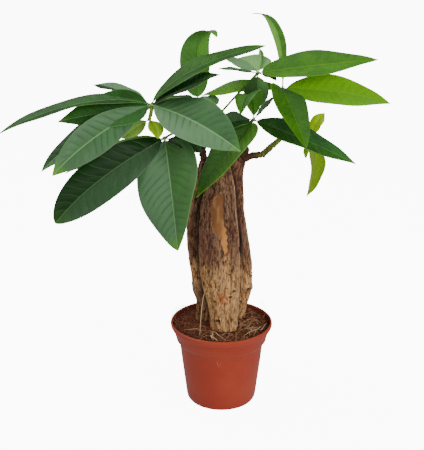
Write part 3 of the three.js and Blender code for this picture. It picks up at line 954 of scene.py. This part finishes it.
def make_twig(name, node, lines, scars, greenness, material, draw):
    """Knobbly young wood with old leaf seats on it."""
    strands = []
    for points, radii in lines:
        steps = (len(points) - 1) * 12
        line = smooth_line([Vector(p) * MM for p in points], steps)
        strand = []
        for k, place in enumerate(line):
            radius = TWIG_SWELL * catmull(radii, (len(radii) - 1) * k / steps) * MM
            strand.append((place, radius * (1 + 0.07 * math.cos(k * 1.7) + 0.05 * draw.uniform(-1, 1))))
        strands.append(strand)
    wood = tubes(name, strands, 5)
    for vertex in wood.data.vertices:
        vertex.co += vertex.normal * TWIG_LUMP * noise.noise(vertex.co * 330)
    float_attribute(wood, "knot", 0)
    bumps = []
    for place, size in scars:
        bump = ball("scar", Vector(place) * MM, size * MM, 14, 10)
        for vertex in bump.data.vertices:
            vertex.co += vertex.normal * 0.4 * size * MM * noise.noise(vertex.co * 700)
        float_attribute(bump, "knot", 0.55)
        bumps.append(bump)
    made = join([wood, *bumps], name)
    axis, low, high = greenness
    green = [smoothstep(low * MM, high * MM, vertex.co[axis]) for vertex in made.data.vertices]
    float_attribute(made, "green", green)
    dress(made, material, 60, "twig", node)


# Leaves

@dataclass
class Leaflet:
    """A blade as its direction, its bends and its outline.

    turn is the compass direction of its midrib, rise its slope at the stalk, droop how far it bends
    down, curl where it bends, sweep how far it swings sideways, roll and twist how it leans about its
    midrib. early sets how soon it widens and late how slowly it narrows. tone is how yellow green its
    two halves are, partly their own colour and partly painted light shining through, and below 0 how
    dark, which is painted shade. The value after tone is a pale painted sheen on each half, gold how
    yellow its tip is, and wave how far its rim ripples.
    """
    turn: float
    rise: float
    droop: float
    length: float
    width: float
    roll: float = 0
    sweep: float = 0
    twist: float = 0
    curl: float = 1
    early: float = 0.9
    late: float = 0.9
    tone: tuple = (0, 0)
    painted_sheen: tuple = (0, 0)
    gold: float = 0.1
    wave: float = 1.0


class Frond:
    """A whole leaf: its kind, the points and radii of its stalk in millimetres, and its leaflets."""

    def __init__(self, kind, stalk, radii, *leaflets):
        self.kind = kind
        self.stalk = stalk
        self.radii = radii
        self.leaflets = leaflets


def blade_stations(hub, leaf, rows):
    """Middle, sideways and upward directions and half width along a blade, from stalklet to tip."""
    bare = STALKLET_LENGTH / (leaf.length * MM)
    top = leaf.early / (leaf.early + leaf.late)
    peak = top ** leaf.early * (1 - top) ** leaf.late

    def directions(s):
        heading = math.radians(leaf.turn + leaf.sweep * s)
        slope = math.radians(leaf.rise - leaf.droop * s ** leaf.curl)
        along = Vector((
            math.cos(heading) * math.cos(slope), math.sin(heading) * math.cos(slope), math.sin(slope)
        ))
        level = Vector((math.sin(heading), -math.cos(heading), 0))
        face = level.cross(along)
        lean = math.radians(leaf.roll + leaf.twist * s)
        side = level * math.cos(lean) + face * math.sin(lean)
        return along, side, face * math.cos(lean) - level * math.sin(lean)

    fine = 4 * rows
    place = Vector(hub) * MM
    path = [place.copy()]
    for k in range(fine):
        place += directions((k + 0.5) / fine)[0] * (leaf.length * MM / fine)
        path.append(place.copy())
    stations = []
    for row in range(rows + 1):
        t = row / rows
        s = bare + (1 - bare) * t
        at = s * fine
        low = min(int(at), fine - 1)
        middle = path[low].lerp(path[low + 1], at - low)
        _, side, up = directions(s)
        outline = t ** leaf.early * (1 - t) ** leaf.late / peak if 0 < t < 1 else 0
        stations.append((middle, side, up, max(leaf.width * MM / 2 * outline, BLADE_NARROWEST)))
    return path, stations


def rib_strength(leaf):
    """How pale a midrib is: clear on blades with a strong painted sheen and faint on the rest."""
    return min(1, max(0.3 + 0.2 * min(leaf.tone) + 2.6 * sum(leaf.painted_sheen) / 2, 0.12))


def make_blade(blank, hub, leaf, draw):
    """A copy of the blank sheet, laid along the leaflet's midrib."""
    blade = copy_of(blank)
    _, stations = blade_stations(hub, leaf, BLADE_ROWS)
    fold = math.radians(BLADE_FOLD)
    phase = [draw.uniform(0, 2 * math.pi) for _ in range(2)]
    beat = [draw.uniform(*RIPPLES) for _ in range(2)]
    drift = Vector((draw.uniform(0, 50), 0, 0))
    rows = []
    charts = []
    for vertex in blade.data.vertices:
        across = 2 * vertex.co.x
        t = vertex.co.y + 0.5
        middle, side, up, half = stations[round(t * BLADE_ROWS)]
        away = abs(across)
        hand = 0 if across < 0 else 1
        lateral = half * away
        ribs = VEIN_PAIRS * (t - VEIN_SLANT * lateral / (leaf.length * MM)) + 0.45 * hand
        ribs += 0.55 * noise.noise(drift + Vector((3 * hand, 5 * t, away)))
        body = min(1, half / (14 * MM)) * math.sin(math.pi * away) ** 0.7 if 0 < away < 1 else 0
        depth = 1 + 0.8 * noise.noise(drift + Vector((0, 7 * t, 2 * across)))
        lift = lateral * math.sin(fold) + BLADE_HOLLOW * half * (away - away ** 2)
        ripple = math.sin(beat[hand] * t + phase[hand]) * min(1, half / (10 * MM))
        lift += leaf.wave * MM * away ** 2 * ripple
        lift += QUILT_DEPTH * depth * body * (abs(math.sin(math.pi * ribs)) - 0.5)
        vertex.co = middle + side * (across * half * math.cos(fold)) + up * lift
        rows.append((away, ribs, leaf.tone[hand], leaf.painted_sheen[hand]))
        charts.append((0.5 + 0.5 * across * 2 * half / (leaf.length * MM), t))
    float_attributes(blade, ("rim", "ribs", "tone", "painted_sheen"), rows)
    float_attribute(blade, "gold", leaf.gold)
    float_attribute(blade, "rib", rib_strength(leaf))
    chart = blade.data.uv_layers["blade"].data
    for loop in blade.data.loops:
        chart[loop.index].uv = charts[loop.vertex_index]
    return blade


def make_frond(name, node, frond, blank, materials, draw):
    """A leaf stalk and its leaflets: blades, midribs and the knot that they spring from."""
    hub = frond.stalk[-1]
    upper, under, green = materials
    sheet = join([make_blade(blank, hub, leaf, draw) for leaf in frond.leaflets], name)
    sheet.data.materials.append(upper)
    sheet.data.materials.append(under)
    apply_modifier(
        sheet, "SOLIDIFY", thickness=BLADE_THICKNESS, offset=0, material_offset=1, material_offset_rim=1,
    )
    steps = (len(frond.stalk) - 1) * 8
    line = smooth_line([Vector(p) * MM for p in frond.stalk], steps)
    last = len(frond.radii) - 1
    strands = [[(place, MM * catmull(frond.radii, last * k / steps)) for k, place in enumerate(line)]]
    for leaf in frond.leaflets:
        path, stations = blade_stations(hub, leaf, RIB_ROWS)
        thick = RIB_RADIUS * min(1, 0.45 + leaf.length / 200)
        rib = [(path[k], thick * (1.45 - 0.06 * k)) for k in range(0, 6, 2)]
        for row, (middle, _, up, _) in enumerate(stations[:-1]):
            radius = max(thick * (1 - row / RIB_ROWS) ** 0.9, RIB_THINNEST)
            sink = 0.6 * smoothstep(0, 5, row)
            rib.append((middle - up * sink * radius, radius * (1 - 0.15 * smoothstep(0, 8, row))))
        strands.append(rib)
    stalks = tubes("stalks", strands, 2)
    strengths = [1] + [rib_strength(leaf) for leaf in frond.leaflets]
    float_attribute(stalks, "rib", strand_values(stalks, strengths))
    knot = ball("knot", Vector(hub) * MM, KNOT_RADIUS, 20, 12)
    float_attribute(knot, "rib", 1)
    stalks = join([stalks, knot], "stalks")
    stalks.data.materials.clear()
    stalks.data.materials.append(green)
    made = join([sheet, stalks], name)
    smooth(made, 55)
    hand_over(made, frond.kind, node)


# The leaves, each under the node that it replaces
FRONDS = {
    "frond_left_upper": Frond(
        "leaf_dark", [(-21, 6, 312), (-40, -12, 340), (-58, -27, 353), (-74, -40, 360)], [1.6, 1.4, 1.4, 2],
        Leaflet(-168, 23, 51, 162, 26, 13, sweep=-1, curl=0.6, early=0.75, tone=(0.1, 0.15), painted_sheen=(0, 0.05)),
        Leaflet(-166, -5, 6, 97, 43, 50, sweep=-3, early=0.5, late=1.05, gold=0.5,
            tone=(0.15, 0.15), painted_sheen=(0.05, 0)),
        Leaflet(-150, -18, 21, 129, 36, 65, sweep=9, twist=4, curl=1.3, early=1.05, late=0.95, gold=0.8,
            tone=(-0.25, -0.3), painted_sheen=(0.2, 0.25)),
        Leaflet(-172, -15, 30, 135, 34, 28, tone=(-0.95, -0.65), painted_sheen=(0.45, 0.15)),
        Leaflet(-40, -4, 26, 117, 54, -30, sweep=10, twist=-12, late=1, gold=0.3,
            tone=(0.1, 0.05), painted_sheen=(0.15, 0.35)),
        Leaflet(18, 71, 63, 141, 29, -12, twist=-5, curl=0.34, early=0.75, late=0.85, tone=(0.25, 0.2)),
        Leaflet(140, 17, 18, 87, 30, early=1.2, late=0.8, tone=(-0.7, 0.1), painted_sheen=(0, 0.4)),
        Leaflet(-2, 30, 12, 78, 40, -13, sweep=-2, twist=3, early=0.7, late=0.8, tone=(-0.6, -0.95)),
        Leaflet(5, 14, 20, 46, 14),
    ),
    "frond_left_lower": Frond(
        "leaf_dark", [(-21, 4, 308), (-36, -18, 324), (-50, -38, 330), (-60, -48, 327)], [1.4, 1.2, 1.2, 1.5],
        Leaflet(-149, -22, 26, 144, 47, 60, sweep=-10, curl=1.6, early=0.72, late=0.65, wave=1.8,
            tone=(-0.95, -0.95), painted_sheen=(0.1, 0)),
        Leaflet(-79, -44, 9, 126, 73, -23, twist=-38, early=0.5, late=0.8, gold=0.6,
            tone=(0.25, -0.45), painted_sheen=(0.15, 0.3)),
        Leaflet(178, -8, 25, 114, 36, 10, tone=(0, 1), painted_sheen=(0, 0.05)),
        Leaflet(172, -28, 25, 90, 34),
        Leaflet(100, -52, 20, 82, 32),
        Leaflet(-25, -8, 15, 44, 30, -10, tone=(-0.3, -0.3), painted_sheen=(0.1, 0)),
    ),
    "frond_left_young": Frond(
        "leaf_young", [(-73, -39, 359), (-74, -40, 353), (-76, -40, 345)], [1.3, 2.1, 1.7],
        Leaflet(-145, -20, 12, 37, 18, 40, tone=(-0.3, -0.3), painted_sheen=(0.23, 0.25)),
        Leaflet(-64, -10, 13, 42, 16, 1, sweep=-21, tone=(-0.2, -0.35), painted_sheen=(0.03, 0)),
    ),
    "frond_centre": Frond(
        "leaf_mid", [(12, 5, 291), (13, -6, 312), (23, -18, 330), (33, -22, 341)], [2, 1.6, 1.4, 1.6],
        Leaflet(-20, -16, 7, 118, 38, -22, sweep=2, early=0.62, late=1.05,
            tone=(0.05, 0.15), painted_sheen=(0.05, 0)),
        Leaflet(-157, 9, 33, 41, 32, 17, sweep=2, tone=(-0.45, -0.95), painted_sheen=(0, 0.15)),
        Leaflet(-131, -35, 17, 106, 50, 0, sweep=-24, early=0.5, gold=0.9,
            tone=(0.55, 0.3), painted_sheen=(0.1, 0.1)),
        Leaflet(-111, 104, 183, 70, 26, -13, curl=1.1, tone=(0.2, 0.35), painted_sheen=(0.05, 0)),
        Leaflet(25, 47, 10, 34, 10, 60, tone=(0, -0.85), painted_sheen=(0, 0.45)),
    ),
    "frond_right_upper": Frond(
        "leaf_bright", [(61, -4, 314), (64, -5, 322), (66, -4, 345), (65, 0, 370)], [1.6, 1.2, 1.1, 1.5],
        Leaflet(85, 66, 75, 131, 16, -10, sweep=40, curl=1.5, early=1.2,
            tone=(0.45, -0.45), painted_sheen=(0.2, 0.05)),
        Leaflet(-6, 2, 19, 118, 39, -45, sweep=9, early=0.74, late=1.05, tone=(0.55, 0.55), painted_sheen=(0, 0.05)),
        Leaflet(-92, 18, 73, 96, 40, 28, sweep=36, twist=-33, curl=0.5, early=0.45, late=0.85,
            tone=(-0.55, -0.45), painted_sheen=(0.05, 0)),
        Leaflet(75, -5, 50, 84, 34),
        Leaflet(150, 1, 20, 103, 32, 20, tone=(0.75, 0.65), painted_sheen=(0.08, 0.25)),
    ),
    "frond_top": Frond(
        "leaf_bright", [(-20, 7, 313), (-5, 6, 338), (15, 4, 362), (38, 0, 387)], [1.4, 1.2, 1.2, 1.5],
        Leaflet(-5, 9, 4, 127, 44, -30, early=0.64, late=1, tone=(-0.35, -0.2), painted_sheen=(0.05, 0.05)),
        Leaflet(67, 28, 1, 46, 8, 39, sweep=36, tone=(1, -0.4), painted_sheen=(0.42, 0.22)),
        Leaflet(-98, -56, 25, 39, 28, -12, tone=(-0.45, -0.75), painted_sheen=(0.2, 0.05)),
        Leaflet(170, 8, 6, 43, 11, -28, tone=(-0.95, -0.6), painted_sheen=(0.65, 0)),
        Leaflet(108, 22, 45, 73, 49, 1, sweep=12, curl=1.3, early=0.45, tone=(-0.65, 1), painted_sheen=(0.5, 0.55)),
        Leaflet(-35, -5, 20, 24, 14, tone=(-0.6, -0.95), painted_sheen=(0, 0.05)),
    ),
    "frond_rear_upper": Frond(
        "leaf_bright", [(-22, 9, 308), (-26, 24, 336), (-27, 38, 351)], [1.4, 1.2, 1.4],
        Leaflet(-68, 98, 148, 102, 37, 4, sweep=23, curl=3.1, early=0.5, late=0.7,
            tone=(-0.2, -0.4), painted_sheen=(0.15, 0.15)),
        Leaflet(-12, 8, 30, 24, 24, -20, late=0.6, tone=(1, 0.9), painted_sheen=(0.7, 0.4)),
        Leaflet(95, 0, 45, 100, 38),
        Leaflet(155, 8, 45, 70, 34, tone=(-0.2, -0.8), painted_sheen=(0.05, 0.05)),
    ),
    "frond_rear_lower": Frond(
        "leaf_mid", [(-18, 12, 283), (-20, 28, 303), (-8, 46, 318)], [1.8, 1.5, 1.6],
        Leaflet(95, 5, 50, 110, 44),
        Leaflet(140, -5, 50, 78, 40),
        Leaflet(68, -25, 45, 100, 40, tone=(1, 0.3), painted_sheen=(0.55, 0.05)),
    ),
    "frond_right_young": Frond(
        "leaf_young", [(60, -3, 314), (72, 0, 316), (86, 3, 315), (97, 5, 314)], [1.3, 1.1, 1, 1.2],
        Leaflet(25, 74, 33, 33, 19, -15, tone=(0.75, 1), painted_sheen=(0, 0.05)),
        Leaflet(24, -47, 70, 70, 26, 24, sweep=-29, twist=-5, curl=0.6, early=0.76, late=1.05,
            tone=(1, 0.3), painted_sheen=(0.25, 0.05)),
        Leaflet(-140, -60, 30, 22, 8, tone=(0.85, 0), painted_sheen=(0.1, 0)),
    ),
}


# Colours of each kind of leaf: face, deep, vein and tip of both sides with gloss and glow, then the stalk
LEAF_KINDS = {
    "leaf_dark": (
        ("1e501a", "133a13", "84b470", "619a1c", 0.4, 0.05),
        ("427c1a", "326a14", "7fae50", "6fa830", 0.6, 0.15),
        ("86a85a", "5c8038"),
    ),
    "leaf_mid": (
        ("245c16", "164410", "84b468", "659e12", 0.42, 0.08),
        ("4c8a20", "3a7618", "86b45a", "7fb430", 0.6, 0.15),
        ("6c8f40", "486c26"),
    ),
    # The bright kind's yellower green is partly the colour of younger leaves and partly painted light shining
    # through them
    "leaf_bright": (
        ("4a8600", "397000", "7ab42c", "74b400", 0.55, 0.12),
        ("5a9c08", "488a06", "8cbe3c", "98c820", 0.65, 0.25),
        ("5c822a", "3c621a"),
    ),
    "leaf_young": (
        ("96c000", "80ac00", "b4d040", "b8e018", 0.55, 0.2),
        ("a0c808", "8cb404", "c0d850", "c4e428", 0.65, 0.25),
        ("9cb83a", "789420"),
    ),
}


def make_fronds(draw):
    pattern = blade_pattern_group()
    kinds = {}
    for kind, (upper, under, stalk) in LEAF_KINDS.items():
        title = kind.replace("leaf_", "")
        kinds[kind] = (
            blade_material(f"{title} blade", pattern, *upper),
            blade_material(f"{title} underside", pattern, *under),
            stalk_material(f"{title} leaf stalk", *stalk, upper[0]),
        )
    blank = start_from(
        bpy.ops.mesh.primitive_grid_add, "blade_blank", x_subdivisions=BLADE_COLUMNS,
        y_subdivisions=BLADE_ROWS, size=1, calc_uvs=True,
    )
    blank.data.uv_layers[0].name = "blade"
    for node, frond in FRONDS.items():
        make_frond(node.replace("frond", "leaf"), node, frond, blank, kinds[frond.kind], draw)
    bpy.data.objects.remove(blank)


# Studio

def make_studio():
    """A white floor, soft light from all round and three large soft lamps."""
    floor = start_from(bpy.ops.mesh.primitive_plane_add, "floor", size=FLOOR_SIZE)
    material, nodes, shader = new_material("white floor")
    looks = {
        "Base Color": (0.9, 0.9, 0.9, 1), "Roughness": 0.9, "Emission Color": (1, 1, 1, 1),
        "Emission Strength": FLOOR_GLOW,
    }
    for name, value in looks.items():
        nodes.feed(shader.inputs[name], value)
    floor.data.materials.append(material)
    floor.visible_diffuse = False
    floor.visible_glossy = False
    world = bpy.data.worlds.new("studio")
    bpy.context.scene.world = world
    world.use_nodes = True
    sky = world.node_tree.nodes["Background"]
    sky.inputs["Color"].default_value = (1, 1, 1, 1)
    sky.inputs["Strength"].default_value = ROOM_LIGHT
    for name, place, aim, size, power in LAMPS:
        light = bpy.data.lights.new(name, "AREA")
        light.size = size
        light.energy = power
        lamp = bpy.data.objects.new(name, light)
        lamp.location = place
        lamp.rotation_euler = (Vector(aim) - Vector(place)).to_track_quat("-Z", "Y").to_euler()
        bpy.context.scene.collection.objects.link(lamp)


def make_camera():
    data = bpy.data.cameras.new("camera")
    data.lens = CAMERA_LENS
    camera = bpy.data.objects.new("camera", data)
    camera.location = CAMERA_PLACE
    camera.rotation_euler = (math.radians(90 - CAMERA_TILT), 0, 0)
    bpy.context.scene.collection.objects.link(camera)
    bpy.context.scene.camera = camera


def build():
    draw = random.Random(11)
    make_camera()
    make_studio()
    make_pot(pot_material())
    make_soil(soil_material())
    make_chips(loose_material("soil chips", "341810", "8e4e36", "cf9862", 0.9), draw)
    make_fibres(loose_material("coir", "6a3626", "b07a50", "f6d8a4", 0.7), draw)
    grain = bark_group()
    bark = bark_material(grain)
    for side in STEMS:
        make_stem(side, bark)
    twig = twig_material(grain)
    for row in TWIGS:
        make_twig(*row, twig, draw)
    make_fronds(draw)


build()
